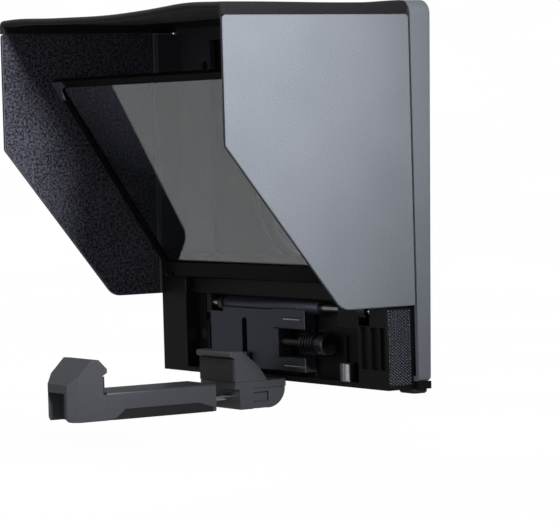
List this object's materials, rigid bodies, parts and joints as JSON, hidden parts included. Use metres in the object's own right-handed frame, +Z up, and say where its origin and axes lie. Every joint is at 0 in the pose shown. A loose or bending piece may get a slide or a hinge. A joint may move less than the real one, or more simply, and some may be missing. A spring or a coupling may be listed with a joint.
{
  "type": "phone teleprompter",
  "caption": "Fold-flat phone teleprompter: hood with felt-lined doors and cloth roof, leaning beam-splitter glass, and a sprung phone clamp, held on a camera lens by a threaded ring.",
  "frame": {"origin": "middle of the male lens thread, on the lens axis", "axes": "+X across the width, -Y towards the speaker, +Y towards the camera along the lens axis, +Z up"},
  "size_m": [0.216, 0.1565, 0.1966],
  "materials": {
    "shell_grey": "fine satin texture",
    "base_black": "satin",
    "rubber_black": "matte",
    "felt_black": "napped felt",
    "roof_cloth": "woven cloth",
    "steel": "bright",
    "dark_metal": "black anodised",
    "frame_black": "semi matte",
    "glass": "clear, half-mirror coat",
    "holder_plate": "dark anodised",
    "holder_plastic": "fine satin texture",
    "holder_dark": "matte"
  },
  "bodies": {
    "housing": {"rear_shell": "shell_grey", "base_block": "base_black", "bearing_blocks": "base_black", "pivot_rod": "steel", "rod_caps": "dark_metal", "stop_post": "dark_metal", "catch_plate": "steel", "side_grip_left": "rubber_black", "side_grip_right": "rubber_black", "rubber_feet": "rubber_black", "inner_frame": "base_black", "frame_screws": "steel", "door_hinge_pins": "steel", "baffle_plate": "base_black", "shell_screws": "steel", "adapter_ring": "dark_metal", "retainer_ring": "dark_metal", "retainer_screws": "steel", "roof_fabric": "roof_cloth", "glass_hinge_pins": "steel"},
    "lock_ring": {"lock_ring": "dark_metal"},
    "left_door": {"left_door_panel": "shell_grey", "left_door_felt": "felt_black"},
    "right_door": {"right_door_panel": "shell_grey", "right_door_felt": "felt_black"},
    "glass": {"glass_frame": "frame_black", "glass_pane": "glass", "corner_clips": "steel"},
    "bracket": {"fold_bracket": "holder_plate", "ear_dowels": "steel"},
    "knob": {"lock_knob": "dark_metal", "knob_collar": "dark_metal"},
    "carriage": {"clamp_carriage": "holder_plastic", "rear_cover": "holder_plastic", "rear_jaw": "holder_plastic", "rear_pad": "rubber_black", "slot_screw": "steel", "slot_nut": "steel", "guide_rods": "steel"},
    "front_jaw": {"jaw_sleeve": "holder_plastic", "sleeve_inlays": "holder_dark", "front_jaw": "holder_plastic", "front_pad": "rubber_black", "jaw_screw": "steel", "jaw_spring": "steel"}
  },
  "joints": [
    {"name": "right_door_fold", "type": "hinge", "parent": "housing", "child": "right_door", "pos_m": [0.1042, -0.0211, 0.022], "axis": [0, 0, -1], "range_deg": [0, 6]},
    {"name": "left_door_fold", "type": "hinge", "parent": "housing", "child": "left_door", "pos_m": [-0.1042, -0.0211, 0.022], "axis": [0, 0, 1], "range_deg": [0, 6]},
    {"name": "glass_fold", "type": "hinge", "parent": "housing", "child": "glass", "pos_m": [0, -0.0357, -0.046], "axis": [-1, 0, 0], "range_deg": [0, 33.3]},
    {"name": "holder_fold", "type": "hinge", "parent": "housing", "child": "bracket", "pos_m": [0, -0.0295, -0.061], "axis": [-1, 0, 0], "range_deg": [0, 50]},
    {"name": "lock_knob_turn", "type": "hinge", "parent": "bracket", "child": "knob", "pos_m": [0.04, -0.0319, -0.0785], "axis": [1, 0, 0], "continuous": true},
    {"name": "height_slide", "type": "slide", "parent": "bracket", "child": "carriage", "axis": [0, 0, 1], "range_m": [0, 0.008]},
    {"name": "jaw_slide", "type": "slide", "parent": "carriage", "child": "front_jaw", "axis": [0, -1, 0], "range_m": [-0.0083, 0.015]},
    {"name": "lock_ring_turn", "type": "hinge", "parent": "housing", "child": "lock_ring", "pos_m": [0, -0.0045, 0], "axis": [0, 1, 0], "range_deg": [0, 25]}
  ]
}
